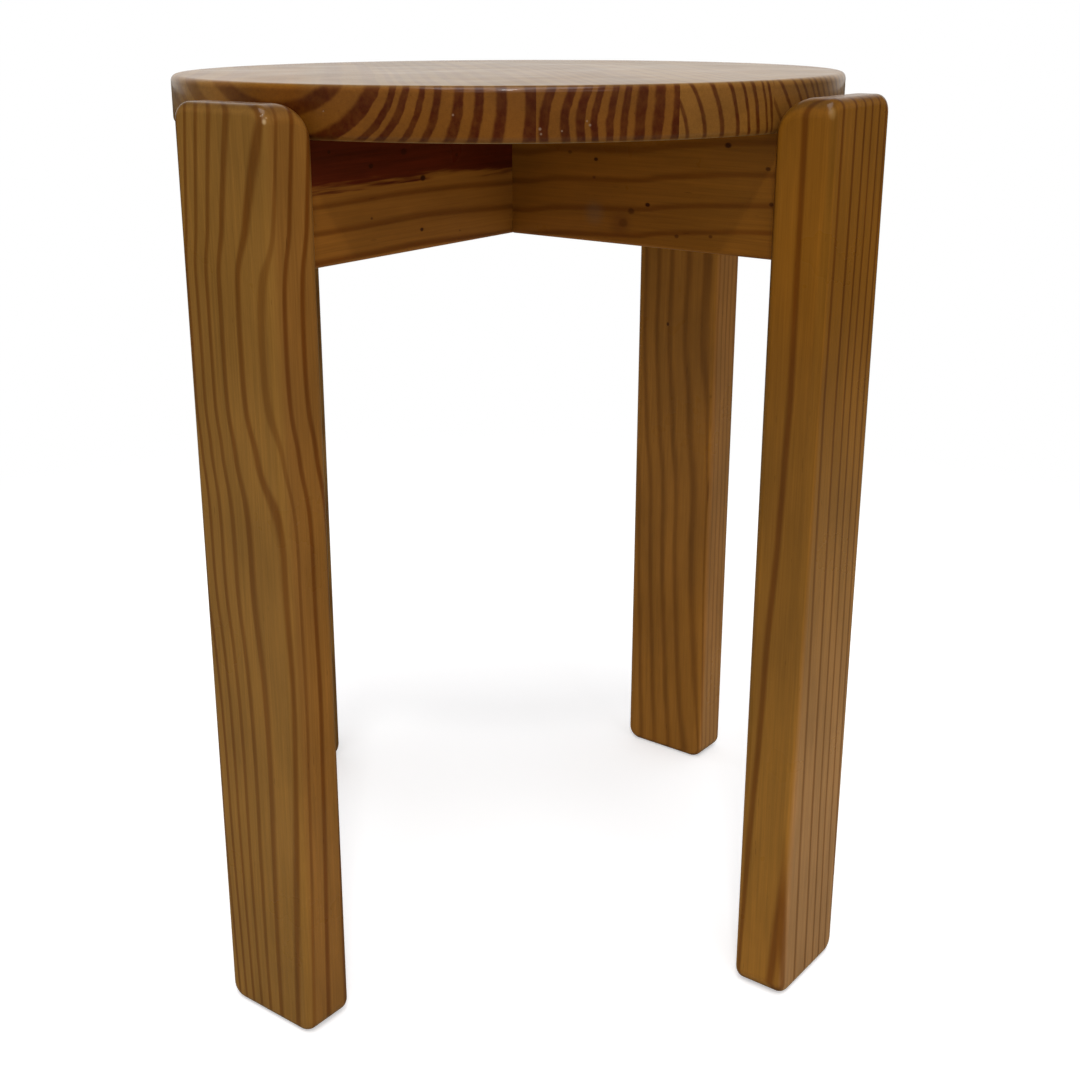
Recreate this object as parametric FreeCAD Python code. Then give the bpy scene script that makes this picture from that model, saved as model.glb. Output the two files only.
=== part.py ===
import FreeCAD, Part
import os

# Round pine stool, in millimetres.
# The origin is on the floor under the middle of the seat, with +Z up.
# One crossed apron board lies along X and the other along Y, and a leg stands at each of their four ends.

Vector = FreeCAD.Vector
UP = Vector(0, 0, 1)

# Driving dimensions of the seat, a disc of boards glued edge to edge
seat_height = 450.0
seat_diameter = 335.0
seat_thickness = 23.0
seat_edge_radius = 3.0
# Direction in which the boards of the seat run, midway between the two apron boards
seat_grain_angle = 45.0
# Glue lines between the boards, as shares of the seat's radius across the grain
glue_line_shares = (-0.054, 0.31, 0.591)
# Each corner of the rim is rounded in flat facets, and these are its inner points as shares of the radius
facet_point_shares = ((1.0, 0.0), (0.293, 0.293), (0.0, 1.0))

# Driving dimensions of the legs, upright planks with their wide face outwards
leg_width = 57.0
leg_thickness = 28.0
leg_drop_below_seat_top = 7.0
leg_edge_radius = 4.5
leg_corner_radius = 8.0
leg_inner_top_radius = 16.0
# Air between the rim of the seat and the inner face of a leg
rim_clearance = 0.2

# Driving dimensions of the crossed apron boards
apron_height = 57.0
apron_thickness = 22.0
apron_arris_radius = 1.5
lap_side_clearance = 0.1

# Driving dimensions of the stub tenons on the ends of the apron boards, glued in blind mortises in the legs
tenon_thickness = 11.0
tenon_length = 18.0
tenon_shoulder = 10.0
mortise_side_clearance = 0.1
mortise_end_clearance = 1.0

# Driving dimensions of the screws that hold the seat from below, one in each apron arm
screw_radius_from_middle = 105.0
screw_shank_diameter = 4.5
screw_length = 40.0
screw_head_diameter = 9.0
screw_head_height = 3.0
screw_side_clearance = 0.1
screw_end_clearance = 1.0
counterbore_diameter = 11.0
counterbore_depth = 30.0

# One overrun for every cut that passes through a face
overrun = 2.0
# The largest share of a wall that a rounding may take
largest_rounding_share = 0.95

# Places worked out from the sizes above
seat_radius = seat_diameter / 2
seat_underside = seat_height - seat_thickness
leg_height = seat_height - leg_drop_below_seat_top
leg_inner_face = seat_radius + rim_clearance
apron_bottom = seat_underside - apron_height
apron_middle = apron_bottom + apron_height / 2
screw_seating = apron_bottom + counterbore_depth

# The legs by the side of the stool on which they stand, and the direction of each from the middle
leg_angles = {
    "front_left": 180.0,
    "front_right": 270.0,
    "back_right": 0.0,
    "back_left": 90.0,
}
arm_angles = tuple(leg_angles.values())


def turned(shape, angle):
    """A copy of the shape, turned about the upright middle line of the stool."""
    copy = shape.copy()
    copy.rotate(Vector(0, 0, 0), UP, angle)
    return copy


def upright_cylinder(radius, bottom, top, x=0.0):
    return Part.makeCylinder(radius, top - bottom, Vector(x, 0, bottom))


def seat_disc():
    """The whole seat, revolved from a profile with both corners of its rim rounded in facets."""
    radius = min(seat_edge_radius, seat_thickness / 2 * largest_rounding_share)
    offsets = [(radius * inwards, radius * along) for inwards, along in facet_point_shares]
    lower = [Vector(seat_radius - inset, 0, seat_underside + rise) for inset, rise in offsets]
    upper = [Vector(seat_radius - inset, 0, seat_height - drop) for inset, drop in reversed(offsets)]
    middle_line = [Vector(0, 0, seat_height), Vector(0, 0, seat_underside)]
    profile = Part.makePolygon(middle_line + lower + upper + middle_line[:1])
    return Part.Face(profile).revolve(Vector(0, 0, 0), UP, 360)


def slab_across_grain(start, end):
    """A slab between two upright planes along the grain, at distances from the middle across it."""
    length = seat_diameter + 2 * overrun
    height = seat_thickness + 2 * overrun
    corner = Vector(-length / 2, -end, seat_underside - overrun)
    return turned(Part.makeBox(length, end - start, height, corner), seat_grain_angle)


def seat_boards():
    """The boards of the seat, each cut from the disc between two glue lines."""
    pilot_top = screw_seating + screw_length + screw_end_clearance
    pilot = upright_cylinder(screw_shank_diameter / 2 + screw_side_clearance,
                             seat_underside - overrun, pilot_top, screw_radius_from_middle)
    disc = seat_disc().cut([turned(pilot, angle) for angle in arm_angles])
    glue_lines = [seat_radius * share for share in glue_line_shares]
    starts = [-seat_radius - overrun] + glue_lines
    ends = glue_lines + [seat_radius + overrun]
    return [disc.common(slab_across_grain(start, end)) for start, end in zip(starts, ends)]


def rounded_plank(radius_of_edge):
    """The upright blank of the leg on the +X side, each edge rounded by its own radius."""
    blank = Part.makeBox(leg_thickness, leg_width, leg_height, Vector(leg_inner_face, -leg_width / 2, 0))
    document = FreeCAD.newDocument()
    plank = document.addObject("Part::Feature")
    plank.Shape = blank
    rounding = document.addObject("Part::Fillet")
    rounding.Base = plank
    radii = [radius_of_edge(edge) for edge in plank.Shape.Edges]
    rounding.Edges = [(number, radius, radius) for number, radius in enumerate(radii, 1)]
    document.recompute()
    shape = rounding.Shape.copy()
    FreeCAD.closeDocument(document.Name)
    return shape


def leg_edge_rounding(edge):
    """Radius for one edge of the blank: long edges, corners seen from outside, and the inner top edge."""
    direction = edge.tangentAt(edge.FirstParameter)
    middle = edge.CenterOfMass
    runs_outwards = abs(direction.x) > abs(direction.y) + abs(direction.z)
    runs_across = abs(direction.y) > abs(direction.x) + abs(direction.z)
    on_top = middle.z > leg_height / 2
    on_inside = middle.x < leg_inner_face + leg_thickness / 2
    if runs_outwards:
        return min(leg_corner_radius, leg_width / 2 * largest_rounding_share)
    if runs_across and on_top and on_inside:
        return min(leg_inner_top_radius, (leg_thickness - leg_edge_radius) * largest_rounding_share)
    return min(leg_edge_radius, leg_thickness / 2 * largest_rounding_share)


def centred_bar(length, thickness, bottom, top):
    """A bar along X through the middle line of the stool."""
    return Part.makeBox(length, thickness, top - bottom, Vector(-length / 2, -thickness / 2, bottom))


def tenon_bar():
    """The bar along X whose two ends, past the ends of the apron board, are its tenons."""
    return centred_bar(2 * (leg_inner_face + tenon_length), tenon_thickness,
                       apron_bottom + tenon_shoulder, seat_underside - tenon_shoulder)


def mortise_bar():
    """The tenon bar with the clearances of the mortises."""
    return centred_bar(2 * (leg_inner_face + tenon_length + mortise_end_clearance),
                       tenon_thickness + 2 * mortise_side_clearance,
                       apron_bottom + tenon_shoulder - mortise_side_clearance,
                       seat_underside - tenon_shoulder + mortise_side_clearance)


def leg():
    """The leg on the +X side, with its blind mortise in the inner face."""
    return rounded_plank(leg_edge_rounding).cut(mortise_bar())


def apron_blank():
    """The board along X before its halving, with the two long lower edges eased and a tenon on each end."""
    length = 2 * leg_inner_face
    board = centred_bar(length, apron_thickness, apron_bottom, seat_underside)
    lower_edges = [
        edge for edge in board.Edges
        if edge.BoundBox.ZMax < apron_middle and edge.BoundBox.XLength > length / 2
    ]
    radius = min(apron_arris_radius, apron_thickness / 2 * largest_rounding_share)
    return board.makeFillet(radius, lower_edges).fuse(tenon_bar()).removeSplitter()


def lap_notch(bottom, top):
    """The notch of the halving joint, as wide as the crossing board and its clearance."""
    return centred_bar(apron_thickness + 2 * lap_side_clearance, apron_thickness + 2 * overrun, bottom, top)


def screw_hole():
    """Counterbore and clearance hole in the +X arm, up through the apron board."""
    counterbore = upright_cylinder(counterbore_diameter / 2, apron_bottom - overrun,
                                   screw_seating, screw_radius_from_middle)
    clearance = upright_cylinder(screw_shank_diameter / 2 + screw_side_clearance, apron_bottom,
                                 seat_underside + overrun, screw_radius_from_middle)
    return counterbore.fuse(clearance)


def apron_board(notch_bottom, notch_top):
    """One board of the cross, along X, with its notch, tenons and screw holes."""
    return apron_blank().cut([lap_notch(notch_bottom, notch_top), screw_hole(), turned(screw_hole(), 180)])


def seat_screw():
    """The wood screw of the +X arm: its flat head sits at the end of the counterbore."""
    x = screw_radius_from_middle
    head = upright_cylinder(screw_head_diameter / 2, screw_seating - screw_head_height, screw_seating, x)
    shank = upright_cylinder(screw_shank_diameter / 2, screw_seating, screw_seating + screw_length, x)
    return head.fuse(shank)


def nodes():
    """Every piece of the stool by its node's name."""
    pieces = {}
    for number, board in enumerate(seat_boards(), 1):
        pieces["seat_board_" + str(number)] = board
    pieces["apron_board_under_lap"] = apron_board(apron_middle, seat_underside + overrun)
    pieces["apron_board_over_lap"] = turned(apron_board(apron_bottom - overrun, apron_middle), 90)
    for side, angle in leg_angles.items():
        pieces["leg_" + side] = turned(leg(), angle)
    pieces["seat_screws"] = Part.makeCompound([turned(seat_screw(), angle) for angle in arm_angles])
    return pieces


os.makedirs("parts", exist_ok=True)
for name, shape in nodes().items():
    shape.exportStep("parts/" + name + ".step")
    print(name, len(shape.Solids), round(shape.Volume), shape.isValid())
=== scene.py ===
import math

import bmesh
import bpy
from mathutils import Matrix, Vector


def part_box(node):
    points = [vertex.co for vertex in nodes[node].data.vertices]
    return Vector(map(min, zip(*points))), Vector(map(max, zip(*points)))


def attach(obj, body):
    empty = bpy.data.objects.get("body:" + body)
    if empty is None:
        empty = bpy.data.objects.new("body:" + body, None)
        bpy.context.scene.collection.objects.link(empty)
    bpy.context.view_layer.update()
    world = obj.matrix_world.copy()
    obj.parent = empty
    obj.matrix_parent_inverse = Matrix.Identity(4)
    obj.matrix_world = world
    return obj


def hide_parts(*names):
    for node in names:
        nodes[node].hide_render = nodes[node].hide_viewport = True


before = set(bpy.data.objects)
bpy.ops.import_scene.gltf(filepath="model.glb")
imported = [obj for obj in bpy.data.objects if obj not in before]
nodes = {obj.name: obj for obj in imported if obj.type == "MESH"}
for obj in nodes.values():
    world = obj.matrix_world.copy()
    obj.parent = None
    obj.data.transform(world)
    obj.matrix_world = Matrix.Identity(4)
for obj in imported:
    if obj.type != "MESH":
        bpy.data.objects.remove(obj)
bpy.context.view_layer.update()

MM = 0.001

# ---- shapes read from the frame
SEAT_BOTTOM, SEAT_TOP = (corner.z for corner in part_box("seat_board_1"))
LEG_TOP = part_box("leg_back_right")[1].z / MM
SEAT_MIDDLE = (SEAT_TOP + SEAT_BOTTOM) / 2 / MM

# ---- camera, fitted to the outline in the photograph
CAMERA_AZIMUTH = 218.0621
CAMERA_DISTANCE = 0.7933457
CAMERA_HEIGHT = 0.4787168
CAMERA_PITCH = 0.3117
CAMERA_ROLL = -0.0038
CAMERA_YAW = 0.0002
FOCAL_PIXELS = 1507.322
CENTRE_PIXEL = (510.1171, 496.1862)
FRAME_PIXELS = 1080
SENSOR = 36.0


def make_camera():
    data = bpy.data.cameras.new("camera")
    data.sensor_width = SENSOR
    data.lens = FOCAL_PIXELS * SENSOR / FRAME_PIXELS
    data.shift_x = (FRAME_PIXELS / 2 - CENTRE_PIXEL[0]) / FRAME_PIXELS
    data.shift_y = (CENTRE_PIXEL[1] - FRAME_PIXELS / 2) / FRAME_PIXELS
    camera = bpy.data.objects.new("camera", data)
    bpy.context.scene.collection.objects.link(camera)
    forward = Vector((math.sin(CAMERA_YAW) * math.cos(CAMERA_PITCH),
                      math.cos(CAMERA_YAW) * math.cos(CAMERA_PITCH), -math.sin(CAMERA_PITCH)))
    level = Vector((math.cos(CAMERA_YAW), -math.sin(CAMERA_YAW), 0))
    above = level.cross(forward)
    right = math.cos(CAMERA_ROLL) * level + math.sin(CAMERA_ROLL) * above
    up = -math.sin(CAMERA_ROLL) * level + math.cos(CAMERA_ROLL) * above
    place = Vector((0, -CAMERA_DISTANCE, CAMERA_HEIGHT))
    local = Matrix((
        (right.x, up.x, -forward.x, place.x),
        (right.y, up.y, -forward.y, place.y),
        (right.z, up.z, -forward.z, place.z),
        (0, 0, 0, 1),
    ))
    camera.matrix_world = Matrix.Rotation(math.radians(CAMERA_AZIMUTH - 270), 4, "Z") @ local
    bpy.context.scene.camera = camera


# ---- node helpers
class Tree:
    """Short calls for the nodes of one material."""

    def __init__(self, tree):
        self.tree = tree

    def add(self, kind, inputs=(), **settings):
        node = self.tree.nodes.new(kind)
        for key, value in settings.items():
            setattr(node, key, value)
        for key, value in (inputs.items() if isinstance(inputs, dict) else enumerate(inputs)):
            self.feed(node.inputs[key], value)
        return node

    def feed(self, socket, value):
        if isinstance(value, bpy.types.NodeSocket):
            self.tree.links.new(value, socket)
        elif value is not None:
            socket.default_value = value

    def math(self, operation, *values, clamp=False):
        return self.add("ShaderNodeMath", values, operation=operation, use_clamp=clamp).outputs[0]

    def vector(self, operation, *values):
        node = self.add("ShaderNodeVectorMath", values, operation=operation)
        return node.outputs["Value" if operation in ("DOT_PRODUCT", "LENGTH", "DISTANCE") else "Vector"]

    def combine(self, x, y, z):
        return self.add("ShaderNodeCombineXYZ", (x, y, z)).outputs[0]

    def noise(self, vector, scale, detail=2.0, roughness=0.5, distortion=0.0):
        node = self.add("ShaderNodeTexNoise", {"Vector": vector, "Scale": scale, "Detail": detail,
                                               "Roughness": roughness, "Distortion": distortion})
        return node.outputs["Fac"]

    def smooth(self, value, low, high, to_low=0.0, to_high=1.0):
        return self.add("ShaderNodeMapRange", {"Value": value, "From Min": low, "From Max": high,
                                               "To Min": to_low, "To Max": to_high},
                        interpolation_type="SMOOTHSTEP").outputs["Result"]

    def linear(self, value, low, high, to_low=0.0, to_high=1.0, clamp=True):
        return self.add("ShaderNodeMapRange", {"Value": value, "From Min": low, "From Max": high,
                                               "To Min": to_low, "To Max": to_high}, clamp=clamp).outputs["Result"]

    def mix(self, share, first, second, blend="MIX"):
        node = self.add("ShaderNodeMix", data_type="RGBA", blend_type=blend)
        colour_inputs = [s for s in node.inputs if s.type == "RGBA"]
        self.feed(node.inputs[0], share)
        self.feed(colour_inputs[0], first)
        self.feed(colour_inputs[1], second)
        return [s for s in node.outputs if s.type == "RGBA"][0]

    def ramp(self, value, stops, interpolation="LINEAR"):
        """A ramp from positions to grey levels or colours."""
        node = self.add("ShaderNodeValToRGB", (value,))
        band = node.color_ramp
        band.interpolation = interpolation
        while len(band.elements) < len(stops):
            band.elements.new(0.5)
        for element, (position, level) in zip(band.elements, stops):
            element.position = position
        # setting a place can reorder the elements, so the places are set again with the colours
        for element, (position, level) in zip(band.elements, stops):
            element.position = position
            element.color = (*level, 1) if isinstance(level, tuple) else (level, level, level, 1)
        return node.outputs["Color"]

    def curve(self, value, points):
        """A smooth curve from 0..1 to 0..1 through the points."""
        node = self.add("ShaderNodeFloatCurve", {"Factor": 1.0, "Value": value})
        curve = node.mapping.curves[0]
        while len(curve.points) < len(points):
            curve.points.new(0.5, 0.5)
        for point, (x, y) in zip(curve.points, points):
            point.location = (x, y)
            point.handle_type = "AUTO_CLAMPED"
        node.mapping.update()
        return node.outputs[0]


def rgb(r, g, b):
    return (r, g, b, 1)


# ---- pine
# scales of the patterns in a board, per millimetre across it, up it and along its grain
WAVE_SCALE = (0.035, 0.035, 0.009)
RIPPLE_SCALE = (0.25, 0.25, 0.045)
WOBBLE_SCALE = (0.16, 0.16, 0.02)
FIBRE_SCALE = (1.5, 1.5, 0.03)
STREAK_SCALE = (0.55, 0.55, 0.010)
CLOUD_SCALE = (0.045, 0.045, 0.014)
FLECK_SCALE = (0.9, 0.9, 0.10)
BLOTCH_SCALE = (0.35, 0.22, 0.03)
HEART_SCALE = (0.30, 0.30, 0.018)
DENT_SCALE = (0.11, 0.11, 0.05)
SMEAR_SCALE = (0.02, 0.02, 0.02)
# most values of a noise lie between these two
NOISE_RANGE = (0.3, 0.7)

# millimetres by which the slow wave moves a ring, for a warp of 1
WAVE_HEIGHT = 4.0
# room round the ends of the curves and ramps
PITH_MARGIN, FIRST_RING_MARGIN, LAST_RING_MARGIN = 5.0, 12.0, 0.01
# largest share of a ring that its dark band takes
WIDEST_BAND = 0.95

# darkest and lightest factor of each pattern, and the part of the noise that it takes
FIBRE_TONES, STREAK_TONES, CLOUD_TONES, INK_TONES = (0.90, 1.10), (0.93, 1.07), (0.88, 1.12), (0.82, 1.0)
FLECK_PART, FLECK_TONE = (0.74, 0.80), 0.72
BLOTCH_PART = (0.32, 0.62)
# end grain shows where the surface faces along the grain, drinks more lacquer and is darker
END_GRAIN_PART, END_GRAIN_TONE = (0.25, 0.85), 0.65
# the red heartwood's edge: its streaks, how it fades inwards and outwards, and its tones
HEART_STREAK, HEART_FADE, HEART_TONES = (-2.2, 2.2), (-2.0, 0.8), (0.80, 1.30)
MARK_CORE = 0.2
KNOT_STRETCH, KNOT_CORE, KNOT_EDGE, KNOT_COLOUR = 1.35, 0.35, 0.8, (0.030, 0.005, 0.001)

# relief and lacquer
DENT_PART = (0.28, 0.5)
FIBRE_RELIEF, RING_RELIEF, DENT_RELIEF = 0.05, 0.05, 0.15
BUMP_STRENGTH, BUMP_DISTANCE = 0.5, 0.0006
ROUGHNESS_SPREAD = (-0.05, 0.07)
COAT_ROUGHNESS, COAT_IOR = 0.09, 1.5


class Board:
    """How one board was cut from its log, and how it looks. Lengths in millimetres.

    grain, across, up: the board's own directions.
    pith: points (place along the grain, across, up) of the middle of the log.
    rings: dark bands (radius of the middle, width, strength) from the pith outwards.

    The looks:
    early, late, end_early, end_late: colours of the light and dark wood, on the faces and on end grain.
    rise, fall: shares over which a band darkens and then fades.
    warp, wobble, blotch: how uneven the rings and their bands are.
    lean, bow: (start, end, amount, middle) across the board, where the rings lean over or bow.
    heart, heart_colour: radius and colour of the heartwood.
    tints: (direction, start, end, factors), which shade the colour along a direction; on the legs and one apron board
    they are painted light and shade.
    marks: (place, size, stretch along the grain, strength, colour); on the front legs some are painted glints.
    knots: (place, size, strength).
    gloss, rough, coat: specular level, roughness and coat weight of the lacquer.
    """

    def __init__(self, grain, across, up, pith, rings, **looks):
        self.grain, self.across, self.up = grain, across, up
        self.pith, self.rings = pith, rings
        self.looks = dict(early=(0.36, 0.185, 0.055), late=(0.16, 0.060, 0.012), rise=0.75, fall=0.12, warp=0.5,
                          wobble=0.0, blotch=0.12, lean=None, bow=None, heart=None,
                          heart_colour=(0.085, 0.011, 0.0025), tints=(), marks=(), knots=(),
                          gloss=0.09, rough=0.30, coat=0.3)
        self.looks.update(looks)
        for name in ("early", "late"):
            darker = tuple(END_GRAIN_TONE * level for level in self.looks[name])
            self.looks.setdefault("end_" + name, darker)


class Grain:
    """Sockets for the place in one board, in millimetres, and patterns drawn out along its grain."""

    def __init__(self, t, board):
        self.t, self.board = t, board
        self.place = t.add("ShaderNodeVectorMath", {0: t.add("ShaderNodeTexCoord").outputs["Object"], "Scale": 1 / MM},
                           operation="SCALE").outputs[0]
        self.across, self.height, self.along = (
            t.vector("DOT_PRODUCT", self.place, direction) for direction in (board.across, board.up, board.grain))

    def noise(self, scale, detail, roughness=0.5):
        places = (self.across, self.height, self.along)
        scaled = [self.t.math("MULTIPLY", place, share) for place, share in zip(places, scale)]
        return self.t.noise(self.t.combine(*scaled), 1.0, detail, roughness)

    def sway(self, amount, *noise):
        """Noise around zero."""
        return self.t.math("MULTIPLY", self.t.math("SUBTRACT", self.noise(*noise), 0.5), amount)

    def distance(self, place, stretch):
        """Distance from a place, counted less along the grain."""
        t, board = self.t, self.board
        away = t.vector("SUBTRACT", self.place, place)
        along = t.math("DIVIDE", t.vector("DOT_PRODUCT", away, board.grain), stretch)
        return t.vector("LENGTH", t.combine(along, t.vector("DOT_PRODUCT", away, board.across),
                                            t.vector("DOT_PRODUCT", away, board.up)))


def path_curve(t, share, pith, column):
    """The pith's place in one direction, as a smooth curve along the grain."""
    places = [point[column] for point in pith]
    low, high = min(places) - PITH_MARGIN, max(places) + PITH_MARGIN
    start, end = pith[0][0], pith[-1][0]
    points = [((point[0] - start) / (end - start), (point[column] - low) / (high - low)) for point in pith]
    return t.linear(t.curve(share, points), 0.0, 1.0, low, high, clamp=False)


def ring_radius(t, grain, board):
    """Distance from the pith, with the bends of the board's rings."""
    look = board.looks
    bent = grain.across
    if look["lean"]:
        start, end, amount, middle = look["lean"]
        leaning = t.smooth(grain.across, start, end, 0.0, amount)
        bent = t.math("ADD", bent, t.math("MULTIPLY", leaning, t.math("SUBTRACT", grain.height, middle)))
    if look["bow"]:
        start, end, amount, middle = look["bow"]
        bowing = t.smooth(grain.across, start, end, amount, 0.0)
        up = t.math("SUBTRACT", grain.height, middle)
        bent = t.math("SUBTRACT", bent, t.math("MULTIPLY", bowing, t.math("MULTIPLY", up, up)))
    share = t.linear(grain.along, board.pith[0][0], board.pith[-1][0])
    out_across = t.math("SUBTRACT", bent, path_curve(t, share, board.pith, 1))
    out_up = t.math("SUBTRACT", grain.height, path_curve(t, share, board.pith, 2))
    squares = t.math("ADD", t.math("MULTIPLY", out_across, out_across), t.math("MULTIPLY", out_up, out_up))
    radius = t.math("ADD", t.math("SQRT", squares), grain.sway(WAVE_HEIGHT * look["warp"], WAVE_SCALE, 2.0))
    radius = t.math("ADD", radius, grain.sway(look["warp"], RIPPLE_SCALE, 2.0))
    if look["wobble"]:
        radius = t.math("ADD", radius, grain.sway(look["wobble"], WOBBLE_SCALE, 3.0, 0.55))
    return radius


def ring_darkness(t, radius, board):
    """How far the late wood darkens a place: one ramp counts the rings, and the next gives each its own band."""
    look = board.looks
    edges = [middle + width / 2 for middle, width, strength in board.rings]
    count = len(edges)
    first, last = edges[0] - FIRST_RING_MARGIN, edges[-1] + LAST_RING_MARGIN
    stops = [(0.0, 0.0)] + [((edge - first) / (last - first), i / count) for i, edge in enumerate(edges, 1)]
    level = t.math("MULTIPLY", t.ramp(t.linear(radius, first, last), stops), float(count))
    phase, index = t.math("FRACT", level), t.math("FLOOR", level)
    widths = [min(WIDEST_BAND, ring[1] / (edge - before))
              for ring, edge, before in zip(board.rings, edges, [first] + edges)]
    bands = [(i / count, (board.rings[i][2], widths[i], 0.0)) for i in range(count)]

    def band_at(offset):
        share = t.math("DIVIDE", t.math("ADD", index, offset), float(count))
        return t.add("ShaderNodeSeparateColor", (t.ramp(share, bands, "CONSTANT"),)).outputs

    strength, width = band_at(0.5)[0:2]
    strength_before = band_at(-0.5)[0]
    start = t.math("SUBTRACT", 1.0, width)
    rise = t.smooth(phase, start, t.math("ADD", start, t.math("MULTIPLY", width, look["rise"])))
    fall = t.math("MULTIPLY", t.smooth(phase, 0.0, look["fall"], 1.0, 0.0), strength_before)
    past_first = t.math("GREATER_THAN", index, 0.5)
    return t.math("MAXIMUM", t.math("MULTIPLY", rise, strength), t.math("MULTIPLY", fall, past_first))


def grey(t, level):
    return t.combine(level, level, level)


def pine_colour(t, grain, radius, dark, fibre, look):
    """Colour of the wood, from its rings to its knots."""
    normal = t.add("ShaderNodeNewGeometry").outputs["Normal"]
    facing = t.math("ABSOLUTE", t.vector("DOT_PRODUCT", normal, grain.board.grain))
    end_share = t.smooth(facing, *END_GRAIN_PART)
    early = t.mix(end_share, rgb(*look["early"]), rgb(*look["end_early"]))
    late = t.mix(end_share, rgb(*look["late"]), rgb(*look["end_late"]))
    blotch = t.linear(grain.noise(BLOTCH_SCALE, 3.0, 0.6), *BLOTCH_PART, 1.0 - look["blotch"], 1.0)
    inked = t.math("MULTIPLY", dark, t.linear(fibre, *NOISE_RANGE, *INK_TONES))
    colour = t.mix(t.math("MULTIPLY", inked, blotch), early, late)
    if look["heart"]:
        streak = grain.noise(HEART_SCALE, 3.0, 0.6)
        edge = t.math("ADD", radius, t.linear(streak, *NOISE_RANGE, *HEART_STREAK, clamp=False))
        inside = t.smooth(edge, *(look["heart"] + fade for fade in HEART_FADE), 1.0, 0.0)
        depth = t.linear(streak, *NOISE_RANGE, *HEART_TONES)
        colour = t.mix(inside, colour, t.mix(1.0, rgb(*look["heart_colour"]), grey(t, depth), "MULTIPLY"))
    for direction, start, end, factors in look["tints"]:
        reached = t.smooth(t.vector("DOT_PRODUCT", grain.place, direction), start, end)
        colour = t.mix(reached, colour, t.mix(1.0, colour, rgb(*factors), "MULTIPLY"))

    streaks = t.linear(grain.noise(STREAK_SCALE, 3.0, 0.6), *NOISE_RANGE, *STREAK_TONES)
    clouds = t.linear(grain.noise(CLOUD_SCALE, 3.0, 0.55), *NOISE_RANGE, *CLOUD_TONES)
    flecks = t.smooth(grain.noise(FLECK_SCALE, 1.0), *FLECK_PART)
    value = t.math("MULTIPLY", t.linear(fibre, *NOISE_RANGE, *FIBRE_TONES), streaks)
    value = t.math("MULTIPLY", value, clouds)
    value = t.math("MULTIPLY", value, t.linear(flecks, 0.0, 1.0, 1.0, FLECK_TONE))
    colour = t.mix(1.0, colour, grey(t, value), "MULTIPLY")

    for place, size, stretch, strength, mark_colour in look["marks"]:
        mark = t.smooth(grain.distance(place, stretch), size * MARK_CORE, size, strength, 0.0)
        colour = t.mix(mark, colour, rgb(*mark_colour))
    for place, size, strength in look["knots"]:
        knot = t.smooth(grain.distance(place, KNOT_STRETCH), size * KNOT_CORE, size * KNOT_EDGE, strength, 0.0)
        colour = t.mix(knot, colour, rgb(*KNOT_COLOUR))
    return colour


def pine(name, board):
    """The lacquered pine of one board."""
    material = bpy.data.materials.new(name)
    material.use_nodes = True
    shader = material.node_tree.nodes["Principled BSDF"]
    t = Tree(material.node_tree)
    look = board.looks
    grain = Grain(t, board)
    radius = ring_radius(t, grain, board)
    dark = ring_darkness(t, radius, board)
    fibre = grain.noise(FIBRE_SCALE, 3.0, 0.6)
    t.feed(shader.inputs["Base Color"], pine_colour(t, grain, radius, dark, fibre, look))

    dents = t.smooth(grain.noise(DENT_SCALE, 3.0, 0.6), *DENT_PART)
    relief = t.math("ADD", t.math("MULTIPLY", fibre, FIBRE_RELIEF), t.math("MULTIPLY", dark, RING_RELIEF))
    relief = t.math("ADD", relief, t.math("MULTIPLY", dents, DENT_RELIEF))
    bump = t.add("ShaderNodeBump", {"Strength": BUMP_STRENGTH, "Distance": BUMP_DISTANCE, "Height": relief})
    t.feed(shader.inputs["Normal"], bump.outputs[0])
    smear = t.noise(t.vector("MULTIPLY", grain.place, SMEAR_SCALE), 1.0, 4.0, 0.6)
    roughness = t.linear(smear, *NOISE_RANGE, *(look["rough"] + spread for spread in ROUGHNESS_SPREAD))
    t.feed(shader.inputs["Roughness"], roughness)
    shader.inputs["Specular IOR Level"].default_value = look["gloss"]
    shader.inputs["Coat Weight"].default_value = look["coat"]
    shader.inputs["Coat Roughness"].default_value = COAT_ROUGHNESS
    shader.inputs["Coat IOR"].default_value = COAT_IOR
    return material


def axis(angle):
    return (math.cos(math.radians(angle)), math.sin(math.radians(angle)), 0.0)


Z = (0.0, 0.0, 1.0)
PITH_STEP = 50.0


def speck(place, size):
    """A light speck of filler on the rim."""
    return (place, size, 1.0, 0.55, (0.30, 0.20, 0.13))


def resin(place, size, stretch, strength):
    """A dark streak of resin."""
    return (place, size, stretch, strength, (0.050, 0.010, 0.002))


def painted_glint(place, size, stretch, strength):
    """A painted glint: a light spot that stands in for a highlight on the lacquer."""
    return (place, size, stretch, strength, (0.60, 0.42, 0.22))


def leg_path(across, up):
    """The pith up a leg, from its places across and up at every PITH_STEP from the top down, and at the foot."""
    drops = [PITH_STEP * i for i in range(len(across) - 1)] + [LEG_TOP]
    return [(LEG_TOP - drop, a, b) for drop, a, b in zip(drops, across, up)][::-1]


SEAT_AXES = (axis(45), axis(-45), Z)
SEAT_LOOKS = dict(early=(0.200, 0.100, 0.025), late=(0.155, 0.065, 0.014), end_early=(0.158, 0.055, 0.0065),
                  end_late=(0.046, 0.0042, 0.0002), rise=0.35, fall=0.12, warp=0.35, wobble=1.6, blotch=0.28,
                  gloss=0.12, rough=0.33, coat=0.35)
SEAT_LOOKS_RIGHT = {**SEAT_LOOKS, "early": (0.222, 0.114, 0.030), "end_early": (0.190, 0.077, 0.012),
                    "end_late": (0.050, 0.0058, 0.0002), "rise": 0.5, "wobble": 0.8, "blotch": 0.2}

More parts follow.
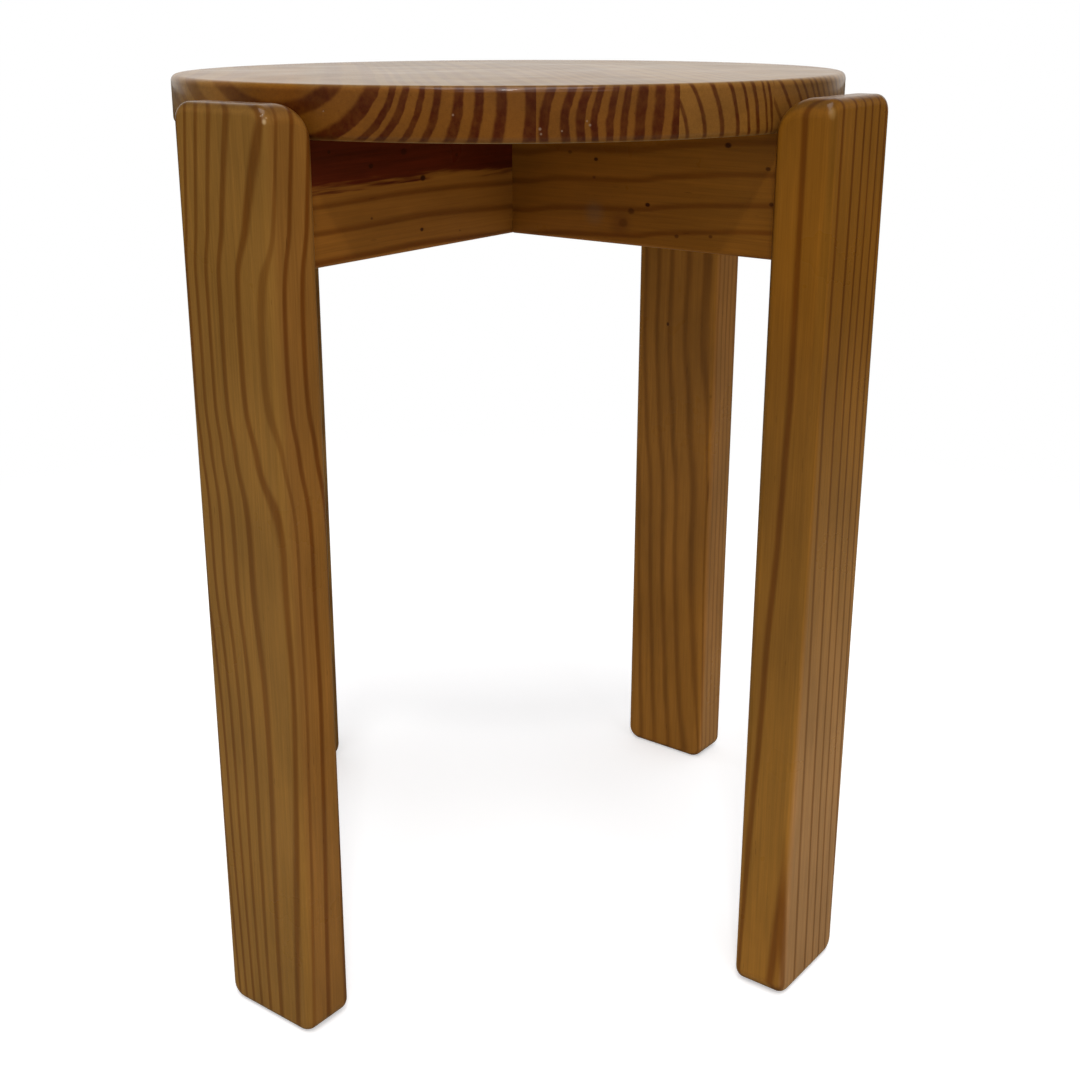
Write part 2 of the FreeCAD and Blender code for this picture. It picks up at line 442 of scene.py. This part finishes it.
BOARDS = {
    "seat_board_1": Board(*SEAT_AXES, [(-170, -114, 472), (-120, -114, 472), (0, -111, 473.5), (110, -113, 471),
                                       (170, -114, 472)], [
        (6, 2, 0.5), (13, 2.5, 0.6), (20, 3, 0.7), (32.0, 7.0, 0.95), (46.5, 6.4, 1.0), (54.9, 2.8, 1.0),
        (59.6, 3.1, 1.0), (65.9, 2.2, 0.95), (71.9, 2.9, 1.0), (79.8, 3.9, 1.0), (87.5, 3.7, 1.0), (96.0, 4.4, 1.0),
        (107.0, 3.8, 1.0)],
        marks=[speck((-144.5, -84.7, 438.6), 0.7)],
        tints=[(axis(-45), -96.0, -108.0, (1.03, 0.88, 0.30)), (axis(-45), -122.0, -136.0, (1.15, 1.30, 3.2))],
        lean=(-110.0, -40.0, 0.27, SEAT_MIDDLE), **SEAT_LOOKS),
    "seat_board_2": Board(*SEAT_AXES, [(-170, -159.9, 453.7), (-150, -159.9, 453.7), (0, -157, 452),
                                       (170, -160, 453)], [
        (146.0, 4, 0.9), (154.3, 4.3, 1.0), (163.1, 3.9, 1.0), (169.5, 4.3, 1.0), (175.3, 3.2, 1.0), (182.0, 3.6, 0.95),
        (187.9, 3.2, 0.95), (194.5, 5.1, 0.95), (202.4, 5.2, 0.95), (210.5, 3.7, 1.0)],
        bow=(12.0, 45.0, 0.018, 437.5),
        marks=[speck((-123.6, -113.0, 433.0), 0.9),
               speck((-123.3, -113.3, 431.0), 0.7),
               speck((-108.8, -127.3, 434.3), 0.8),
               speck((-109.8, -126.5, 435.9), 0.6),
               speck((-117.4, -119.5, 432.1), 0.6)],
        **SEAT_LOOKS),
    "seat_board_3": Board(*SEAT_AXES, [(-170, 23.2, 427.0), (-140, 23.2, 427.0), (0, 26, 428), (170, 23, 427)], [
        (14, 1.4, 0.7), (24, 1.5, 0.8), (32, 1.6, 0.85), (40.2, 1.7, 0.9), (48.6, 2.2, 0.95), (56.6, 2.0, 1.0),
        (62.5, 1.6, 1.0), (67.4, 2.1, 1.0), (72.4, 1.3, 0.95), (75.3, 1.7, 0.95), (79, 1.6, 0.9)],
        **SEAT_LOOKS_RIGHT),
    "seat_board_4": Board(*SEAT_AXES, [(-170, -9.4, 375.0), (0, -12, 374), (170, -9.4, 375.2)], [
        (118.5, 1.6, 0.6), (127.5, 1.5, 0.6), (134.6, 1.7, 0.9), (141.9, 1.6, 0.9), (146.2, 1.6, 0.9),
        (151.0, 1.5, 0.85), (154.1, 1.6, 0.9), (158, 1.5, 0.8), (161.5, 1.5, 0.9), (165.5, 1.5, 0.8), (169, 1.5, 0.9),
        (173, 1.4, 0.8), (177, 1.4, 0.9), (181, 1.4, 0.8)],
        **SEAT_LOOKS_RIGHT),
    "apron_board_under_lap": Board(axis(0), axis(90), Z,
        [(-170, 45, 459.5), (-120, 45, 460), (-85, 45, 460.6), (-50, 45, 459.8), (0, 45, 458.5), (60, 45, 461),
         (120, 45, 459), (170, 45, 456)],
        [(58, 3, 0.8), (66, 3, 0.8), (73, 3, 0.8), (83.4, 2.4, 0.68), (92.6, 2.6, 0.65), (103.2, 2.5, 0.75),
         (113, 2.6, 0.75)],
        early=(0.286, 0.105, 0.014), late=(0.118, 0.026, 0.0015), heart=79.8, rise=0.8, fall=0.12,
        knots=[((-115.2, -11, 411.9), 1.9, 0.9), ((-79.7, -11, 403.6), 2.3, 0.95), ((-115.7, -11, 388.4), 1.0, 0.6),
               ((-81.2, -11, 379.6), 1.5, 0.9), ((-92.7, -11, 416.7), 2.6, 0.6), ((-54.7, -11, 412.5), 1.4, 0.6),
               ((-141.7, -11, 420.0), 1.3, 0.7), ((-53.0, -11, 376.0), 0.8, 0.5)]),
    "apron_board_over_lap": Board(axis(90), axis(0), Z,
        [(-170, 45, 467.5), (-141, 45, 466), (-121, 45, 464.3), (-101, 45, 462.2), (-86, 45, 460), (-61, 45, 459),
         (-41, 45, 458.2), (-11, 45, 455.3), (60, 45, 458), (120, 45, 461), (170, 45, 459)],
        [(52, 2.5, 0.6), (62, 2.5, 0.6), (70.5, 2.4, 0.6), (80.3, 2.3, 0.65), (91.2, 2.3, 0.65), (101.2, 2.3, 0.70),
         (111, 2.5, 0.6)],
        early=(0.225, 0.077, 0.0080), late=(0.108, 0.025, 0.0015), rise=0.8, fall=0.12,
        # Painted shade: the board is left redder and darker near the corner under the seat, and made lighter and
        # greener towards its outer end.
        tints=[(axis(270), 40.0, 160.0, (1.02, 1.10, 1.10))],
        marks=[((-11, -77, 380), 9.0, 1.0, 0.45, (0.120, 0.032, 0.005)),
               ((-11, -62, 384), 8.0, 1.0, 0.25, (0.150, 0.100, 0.060))],
        knots=[((-11, -62.5, 409.9), 1.5, 0.9), ((-11, -61.5, 401.3), 1.2, 0.5), ((-11, -47, 412.5), 1.5, 0.5),
               ((-11, -135.5, 420.0), 2.1, 0.9), ((-11, -92.8, 390.2), 1.7, 0.95), ((-11, -156.5, 410.6), 1.6, 0.7),
               ((-11, -159.0, 395.0), 1.6, 0.7), ((-11, -83.5, 386.5), 2.4, 0.6), ((-11, -79, 380.5), 3.4, 0.35),
               ((-11, -109.5, 376.6), 1.5, 0.6), ((-11, -128, 378.0), 1.3, 0.6)]),
    "leg_front_left": Board(Z, axis(270), axis(180), leg_path(
        [37.0, 38.3, 41.8, 39.0, 36.2, 39.3, 43.2, 45.5, 49.6, 53.5],
        [134.7, 139.8, 145.8, 140.5, 134.8, 134.8, 136.3, 138.3, 141.7, 145.0]),
        [(25.0, 2.0, 0.7), (34.9, 2.8, 0.95), (44.9, 2.8, 0.9), (53.7, 2.0, 0.6), (60.4, 1.9, 0.85), (67.5, 2.1, 0.8),
         (73.0, 1.8, 0.75), (77.9, 1.7, 0.75), (82.4, 1.5, 0.8), (86.7, 1.4, 0.85), (90.6, 1.3, 0.85), (94.2, 1.2, 0.8),
         (97.5, 1.2, 0.8), (100.6, 1.2, 0.8)],
        early=(0.229, 0.106, 0.0185), late=(0.112, 0.032, 0.002), rise=0.65, fall=0.14, warp=0.2,
        # Painted light and shade: the faces other than the outward one are made more orange than it, and the leg is
        # darker towards its top, as if shaded by the seat.
        tints=[(axis(180), 195.2, 190.0, (1.0, 0.90, 0.90)), (Z, 260.0, 400.0, (0.93, 0.93, 0.95))],
        # Painted glints: light spots standing in for the highlight at the leg's top corner.
        marks=[painted_glint((-194.4, -27.4, 436.5), 1.3, 1.3, 0.55),
               painted_glint((-193.4, -27.9, 438.0), 0.9, 0.8, 0.50),
               painted_glint((-194.9, -26.0, 438.8), 0.8, 0.8, 0.45)]),
    "leg_front_right": Board(Z, axis(0), axis(270), leg_path(
        [-67.6, -68.1, -69.9, -71.2, -71.2, -70.7, -70.2, -69.6, -68.0, -66.7],
        [219.7, 219.3, 217.4, 215.1, 213.3, 211.4, 210.3, 208.7, 208.4, 208.3]),
        [(42.4, 1.7, 0.9), (53.3, 1.8, 0.85), (64.4, 1.9, 0.9), (72.9, 1.6, 0.9), (79.6, 1.5, 0.9), (86.7, 1.5, 0.85),
         (93.0, 1.6, 0.9), (98.0, 1.4, 0.8), (103.0, 1.4, 0.8), (108.0, 1.4, 0.8), (113.0, 1.4, 0.8)],
        early=(0.268, 0.114, 0.0145), late=(0.120, 0.032, 0.001), rise=0.65, fall=0.14, warp=0.15,
        # Painted light and shade: the leg is darker and deeper in colour towards its top as painted shade under the
        # seat; the outward face is lighter and bluer towards the foot as a painted reflection of the floor; the narrow
        # side is darker as painted shade and lighter near its top as a painted highlight.
        tints=[(Z, 100.0, 380.0, (0.80, 0.72, 0.5)), ((0.0, -1.0, -0.0077), 193.0, 195.3, (1.25, 1.44, 3.9)),
               ((-1.0, 0.0, 0.01), 28.6, 29.4, (0.80, 0.82, 0.85)),
               ((-1.0, 0.0, 0.01), 31.3, 32.3, (1.20, 1.15, 1.0))],
        # A painted highlight: a light spot standing in for the glint at the leg's top corner.
        marks=[((-27.2, -194.4, 437.5), 2.4, 1.8, 0.28, (0.42, 0.25, 0.08))]),
    "leg_back_right": Board(Z, axis(90), axis(0), leg_path(
        [-63.7, -65.9, -68.4, -70.4, -68.4, -72.3, -75.9, -76.6, -74.9, -68.8],
        [398.1, 399.9, 402.9, 402.2, 403.8, 404.1, 403.3, 403.9, 405.4, 408.4]),
        [(201, 1.6, 0.6), (206, 1.6, 0.6), (211, 1.6, 0.6), (215.5, 1.6, 0.6), (220, 1.6, 0.6), (224.5, 1.6, 0.6),
         (229.4, 1.6, 0.6), (234.5, 1.5, 0.5), (239.4, 1.3, 0.7), (242.3, 1.2, 0.75), (245.6, 1.2, 0.75),
         (248.5, 1.2, 0.75), (251.7, 1.2, 0.75), (255.1, 1.2, 0.7), (258.5, 1.2, 0.7), (261.5, 1.2, 0.7)],
        early=(0.300, 0.122, 0.0165), late=(0.150, 0.050, 0.005), rise=0.9, fall=0.25, warp=0.12,
        # Painted light and shade: the faces away from the inner one are darker and bluer as painted shade, and the
        # narrow face is lighter and greyer, more so towards the foot, as a painted reflection.
        tints=[(axis(0), 168.5, 173.0, (0.85, 0.90, 1.1)), (axis(270), 27.0, 28.3, (1.12, 1.12, 1.60)),
               ((0.0, -1.0, -0.01), 27.4, 28.3, (1.20, 1.30, 1.60))],
        marks=[resin((168.4, -27.9, 233), 1.3, 7.0, 0.9), resin((168.0, -28.2, 213), 1.1, 10.0, 0.75),
               resin((168.5, -27.7, 188), 1.3, 13.0, 0.9)],
        knots=[((167.7, 5.5, 292.0), 1.5, 0.8), ((167.7, -27.5, 250.0), 2.2, 0.5)]),
    "leg_back_left": Board(Z, axis(180), axis(90), leg_path(
        [-10.0, -14.0, -20.0, -16.0, -10.0, -5.0, -2.0, -6.0, -10.0, -12.0],
        [112.0, 114.0, 118.0, 121.0, 118.0, 113.0, 111.0, 114.0, 117.0, 116.0]),
        [(32, 2.8, 0.7), (39, 2.8, 0.7), (46, 2.6, 0.7), (52.5, 2.6, 0.7), (58.5, 2.4, 0.7), (64.5, 2.4, 0.7),
         (70, 2.2, 0.7), (75.5, 2.2, 0.7), (80.5, 2.0, 0.7), (85, 2.0, 0.7), (89.5, 1.8, 0.7), (93.5, 1.8, 0.7),
         (97.5, 1.7, 0.7), (101, 1.6, 0.7)],
        early=(0.240, 0.115, 0.024), late=(0.100, 0.033, 0.004), rise=0.9, fall=0.25, warp=0.3),
}

MATERIALS = {name: pine(name + "_pine", board) for name, board in BOARDS.items()}
for name, material in MATERIALS.items():
    nodes[name].data.materials.clear()
    nodes[name].data.materials.append(material)


def smooth_mesh(name, sheet, sharpest):
    """A smooth mesh from the sheet, with edges sharper than an angle in degrees left sharp."""
    mesh = bpy.data.meshes.new(name)
    sheet.to_mesh(mesh)
    sheet.free()
    for face in mesh.polygons:
        face.use_smooth = True
    mesh.set_sharp_from_angle(angle=math.radians(sharpest))
    return mesh


def add_piece(mesh, material):
    piece = bpy.data.objects.new(mesh.name, mesh)
    bpy.context.scene.collection.objects.link(piece)
    mesh.materials.append(material)
    return piece


# ---- seat boards with the round rim of the real ones
SEAT_RADIUS = max(math.hypot(v.co.x, v.co.y) for v in nodes["seat_board_1"].data.vertices)
ACROSS_SEAT = Vector(axis(-45))
RIM_RADIUS = 3 * MM
RIM_STEPS = 8
ROUND_SEGMENTS = 360
TINY = 1e-6


def strip(name):
    """Lowest and highest place of a seat board across the grain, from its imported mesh."""
    places = [ACROSS_SEAT.dot(v.co) for v in nodes[name].data.vertices]
    return min(places), max(places)


def seat_board_mesh(name):
    """The seat's disc with rounded corners, cut to the strip of one board."""
    low, high = strip(name)
    sheet = bmesh.new()
    turns = [math.pi / 2 * i / RIM_STEPS for i in range(RIM_STEPS + 1)]
    middle = SEAT_RADIUS - RIM_RADIUS
    profile = [(middle + RIM_RADIUS * math.sin(a), SEAT_BOTTOM + RIM_RADIUS * (1 - math.cos(a))) for a in turns]
    profile += [(middle + RIM_RADIUS * math.cos(a), SEAT_TOP - RIM_RADIUS * (1 - math.sin(a))) for a in turns]
    loops = []
    for radius, z in profile:
        loops.append([sheet.verts.new((radius * math.cos(2 * math.pi * i / ROUND_SEGMENTS),
                                       radius * math.sin(2 * math.pi * i / ROUND_SEGMENTS), z))
                      for i in range(ROUND_SEGMENTS)])
    for first, second in zip(loops, loops[1:]):
        for i in range(ROUND_SEGMENTS):
            j = (i + 1) % ROUND_SEGMENTS
            sheet.faces.new((first[i], first[j], second[j], second[i]))
    sheet.faces.new(loops[0][::-1])
    sheet.faces.new(loops[-1])
    for limit, sign in ((low, -1), (high, 1)):
        if abs(limit) > SEAT_RADIUS - TINY:
            continue
        everything = sheet.verts[:] + sheet.edges[:] + sheet.faces[:]
        cut = bmesh.ops.bisect_plane(sheet, geom=everything, plane_co=ACROSS_SEAT * limit,
                                     plane_no=ACROSS_SEAT * sign, clear_outer=True)
        rim = [e for e in cut["geom_cut"] if isinstance(e, bmesh.types.BMEdge)]
        bmesh.ops.contextual_create(sheet, geom=rim)
    bmesh.ops.recalc_face_normals(sheet, faces=sheet.faces)
    return smooth_mesh(name + "_wood", sheet, 30)


for name in [n for n in BOARDS if n.startswith("seat")]:
    piece = add_piece(seat_board_mesh(name), MATERIALS[name])
    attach(piece, "root")
    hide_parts(name)


# ---- screws with a cross recess, a thread and a point
HEAD_SIDES, THREAD_SIDES = 64, 24
HEAD_RINGS, ROWS_PER_PITCH = 20, 6
HEAD_BOTTOM, SCREW_TIP = (v.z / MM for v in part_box("seat_screws"))
HEAD_TOP = HEAD_BOTTOM + 3.0
HEAD_RADIUS, HEAD_ARRIS, HEAD_DOME, DOME_POWER = 4.5, 0.2, 1.4, 6
# the cross recess: its depth, and where its arms' sides and ends slope up
RECESS_DEPTH, RECESS_SIDES, RECESS_ENDS = 1.8, (0.35, 0.70), (1.8, 2.4)
THREAD_RADIUS, ROOT_RADIUS, THREAD_PITCH, RIDGE_SLOPE = 2.25, 1.55, 1.8, 3.2
# the thread grows out of the plain neck between these distances from the head
NECK = (1.0, 4.0)
POINT_LENGTH, POINT_TAPER, POINT_POWER = 7.0, 0.97, 1.4
SCREW_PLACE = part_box("seat_screws")[1].x / MM - HEAD_RADIUS


def step(value, low, high):
    share = min(1.0, max(0.0, (value - low) / (high - low)))
    return share * share * (3 - 2 * share)


def head_rings():
    """Rings of (radius, height) per side, from the middle of the cross recess to the seat of the head."""
    rings = []
    for i in range(1, HEAD_RINGS + 1):
        radius = HEAD_RADIUS * i / HEAD_RINGS
        ring = []
        for k in range(HEAD_SIDES):
            turn = 2 * math.pi * k / HEAD_SIDES
            x, y = abs(radius * math.cos(turn)), abs(radius * math.sin(turn))
            recess = RECESS_DEPTH * (1 - step(min(x, y), *RECESS_SIDES)) * (1 - step(max(x, y), *RECESS_ENDS))
            ring.append((radius, HEAD_BOTTOM + recess + HEAD_DOME * (radius / HEAD_RADIUS) ** DOME_POWER))
        rings.append(ring)
    rings.append([(HEAD_RADIUS, HEAD_TOP - HEAD_ARRIS)] * HEAD_SIDES)
    rings.append([(HEAD_RADIUS - HEAD_ARRIS, HEAD_TOP)] * HEAD_SIDES)
    return rings


def thread_rings():
    """Rings of (radius, height) per side, up the shank with its thread to the point."""
    rings = []
    rows = round((SCREW_TIP - HEAD_TOP) / THREAD_PITCH * ROWS_PER_PITCH)
    for row in range(rows):
        height = HEAD_TOP + (SCREW_TIP - HEAD_TOP) * row / rows
        into_point = max(0.0, (height - SCREW_TIP + POINT_LENGTH) / POINT_LENGTH)
        taper = 1 - POINT_TAPER * into_point ** POINT_POWER
        grown = step(height, *(HEAD_TOP + distance for distance in NECK))
        ring = []
        for k in range(THREAD_SIDES):
            place = (height / THREAD_PITCH - k / THREAD_SIDES) % 1.0
            ridge = max(0.0, 1 - RIDGE_SLOPE * abs(place - 0.5)) * grown
            ring.append(((ROOT_RADIUS + (THREAD_RADIUS - ROOT_RADIUS) * ridge) * taper, height))
        rings.append(ring)
    return rings


def add_closed_skin(sheet, rings, low, high, turned):
    """A skin over the rings of one screw, closed by a middle point at each end."""
    sides = len(rings[0])

    def point(radius, turn, height):
        x = SCREW_PLACE + radius * math.cos(turn)
        return sheet.verts.new(turned @ Vector((x, radius * math.sin(turn), height)) * MM)

    loops = [[point(r, 2 * math.pi * k / sides, z) for k, (r, z) in enumerate(ring)] for ring in rings]
    low_point, high_point = point(0, 0, low), point(0, 0, high)
    for k in range(sides):
        n = (k + 1) % sides
        sheet.faces.new((low_point, loops[0][n], loops[0][k]))
        sheet.faces.new((high_point, loops[-1][k], loops[-1][n]))
        for first, second in zip(loops, loops[1:]):
            sheet.faces.new((first[k], first[n], second[n], second[k]))


def screws_mesh():
    sheet = bmesh.new()
    for number in range(4):
        turned = Matrix.Rotation(math.pi / 2 * number, 3, "Z")
        add_closed_skin(sheet, head_rings(), HEAD_BOTTOM + RECESS_DEPTH, HEAD_TOP, turned)
        add_closed_skin(sheet, thread_rings(), HEAD_TOP, SCREW_TIP, turned)
    return smooth_mesh("seat_screws_steel", sheet, 40)


ZINC_SCALE, ZINC_RANGE, ZINC_ROUGHNESS = 900.0, (0.2, 0.8), (0.22, 0.42)
ZINC_COLOURS = (rgb(0.62, 0.58, 0.48), rgb(0.46, 0.42, 0.33))


def steel():
    """Zinc-plated steel."""
    material = bpy.data.materials.new("screw_steel")
    material.use_nodes = True
    t = Tree(material.node_tree)
    shader = material.node_tree.nodes["Principled BSDF"]
    place = t.add("ShaderNodeTexCoord").outputs["Object"]
    tone = t.noise(place, ZINC_SCALE, 3.0)
    t.feed(shader.inputs["Base Color"], t.mix(tone, *ZINC_COLOURS))
    shader.inputs["Metallic"].default_value = 1.0
    t.feed(shader.inputs["Roughness"], t.linear(tone, *ZINC_RANGE, *ZINC_ROUGHNESS))
    return material


screw_steel = steel()
nodes["seat_screws"].data.materials.clear()
nodes["seat_screws"].data.materials.append(screw_steel)
screws = add_piece(screws_mesh(), screw_steel)
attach(screws, "root")
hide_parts("seat_screws")


# ---- floor, world and lamps
WHITE = rgb(1, 1, 1)
FLOOR_RADIUS, FLOOR_SIDES = 12.0, 96
# what the camera sees: a lit floor with some glow near the stool, and plain white farther out
FLOOR_COLOUR, FLOOR_GLOW, WHITE_FROM = rgb(0.9, 0.9, 0.9), 0.42, (0.45, 0.95)
# what lights the stool: a pale floor that gets dark farther out, dimmer and warmer in the lacquer
BOUNCE_NEAR, BOUNCE_FAR, DIM_FROM = rgb(0.80, 0.79, 0.77), rgb(0.16, 0.155, 0.15), (0.8, 2.2)
BOUNCE_IN_LACQUER = rgb(0.40, 0.34, 0.19)
# the world: bright behind the stool and dim elsewhere for glossy rays, and plain for the light on the stool
BEHIND = (0.60, 0.90)
WORLD_IN_LACQUER, WORLD_BEHIND, WORLD_LIGHT = rgb(0.15, 0.13, 0.085), rgb(0.92, 0.88, 0.82), rgb(0.60, 0.60, 0.61)
# metres towards the camera, to the picture's right and up, then size in metres and watts
LAMPS = {
    "softbox_above": (0.5, 0.0, 2.2, (1.2, 1.2), 17),
    "softbox_front": (1.7, 0.25, 1.35, (1.6, 0.8), 4.8),
    "ceiling_lamp": (1.1, 0.0, 1.6, (0.10, 0.10), 5.5),
}
LAMP_TARGET = Vector((0, 0, 0.3))


def make_floor():
    mesh = bpy.data.meshes.new("floor")
    sheet = bmesh.new()
    bmesh.ops.create_circle(sheet, cap_ends=True, segments=FLOOR_SIDES, radius=FLOOR_RADIUS)
    sheet.to_mesh(mesh)
    sheet.free()
    floor = bpy.data.objects.new("floor", mesh)
    bpy.context.scene.collection.objects.link(floor)
    material = bpy.data.materials.new("floor")
    material.use_nodes = True
    tree = material.node_tree
    tree.nodes.remove(tree.nodes["Principled BSDF"])
    t = Tree(tree)
    path = t.add("ShaderNodeLightPath")
    away = t.vector("LENGTH", t.add("ShaderNodeTexCoord").outputs["Object"])
    lit = t.add("ShaderNodeBsdfDiffuse", {"Color": FLOOR_COLOUR})
    glow = t.add("ShaderNodeEmission", {"Color": WHITE, "Strength": FLOOR_GLOW})
    near = t.add("ShaderNodeAddShader", (lit.outputs[0], glow.outputs[0]))
    white = t.add("ShaderNodeEmission", {"Color": WHITE, "Strength": 1.0})
    seen = t.add("ShaderNodeMixShader", {0: t.smooth(away, *WHITE_FROM), 1: near.outputs[0], 2: white.outputs[0]})
    dim = t.mix(t.smooth(away, *DIM_FROM), BOUNCE_NEAR, BOUNCE_FAR)
    mirrored = t.mix(1.0, dim, BOUNCE_IN_LACQUER, "MULTIPLY")
    bounce = t.add("ShaderNodeBsdfDiffuse", {"Color": t.mix(path.outputs["Is Glossy Ray"], dim, mirrored)})
    either = t.add("ShaderNodeMixShader", {0: path.outputs["Is Camera Ray"], 1: bounce.outputs[0], 2: seen.outputs[0]})
    t.feed(tree.nodes["Material Output"].inputs["Surface"], either.outputs[0])
    mesh.materials.append(material)


def make_world():
    world = bpy.data.worlds.new("world")
    bpy.context.scene.world = world
    world.use_nodes = True
    t = Tree(world.node_tree)
    path = t.add("ShaderNodeLightPath")
    background = world.node_tree.nodes["Background"]
    direction = t.add("ShaderNodeTexCoord").outputs["Generated"]
    behind = t.smooth(t.vector("DOT_PRODUCT", direction, axis(CAMERA_AZIMUTH - 180)), *BEHIND)
    mirrored = t.mix(behind, WORLD_IN_LACQUER, WORLD_BEHIND)
    reflected = t.math("MAXIMUM", path.outputs["Is Glossy Ray"], path.outputs["Is Transmission Ray"])
    others = t.mix(reflected, WORLD_LIGHT, mirrored)
    t.feed(background.inputs["Color"], t.mix(path.outputs["Is Camera Ray"], others, WHITE))
    background.inputs["Strength"].default_value = 1.0


def make_lamps():
    forward, right = Vector(axis(CAMERA_AZIMUTH)), Vector(axis(CAMERA_AZIMUTH + 90))
    for name, (towards, sideways, height, size, watts) in LAMPS.items():
        data = bpy.data.lights.new(name, "AREA")
        data.shape = "RECTANGLE"
        data.size, data.size_y = size
        data.energy = watts
        light = bpy.data.objects.new(name, data)
        bpy.context.scene.collection.objects.link(light)
        light.location = forward * towards + right * sideways + Vector((0, 0, height))
        light.rotation_euler = (LAMP_TARGET - light.location).to_track_quat("-Z", "Y").to_euler()


make_camera()
make_floor()
make_world()
make_lamps()
bpy.context.scene.view_settings.view_transform = "Standard"
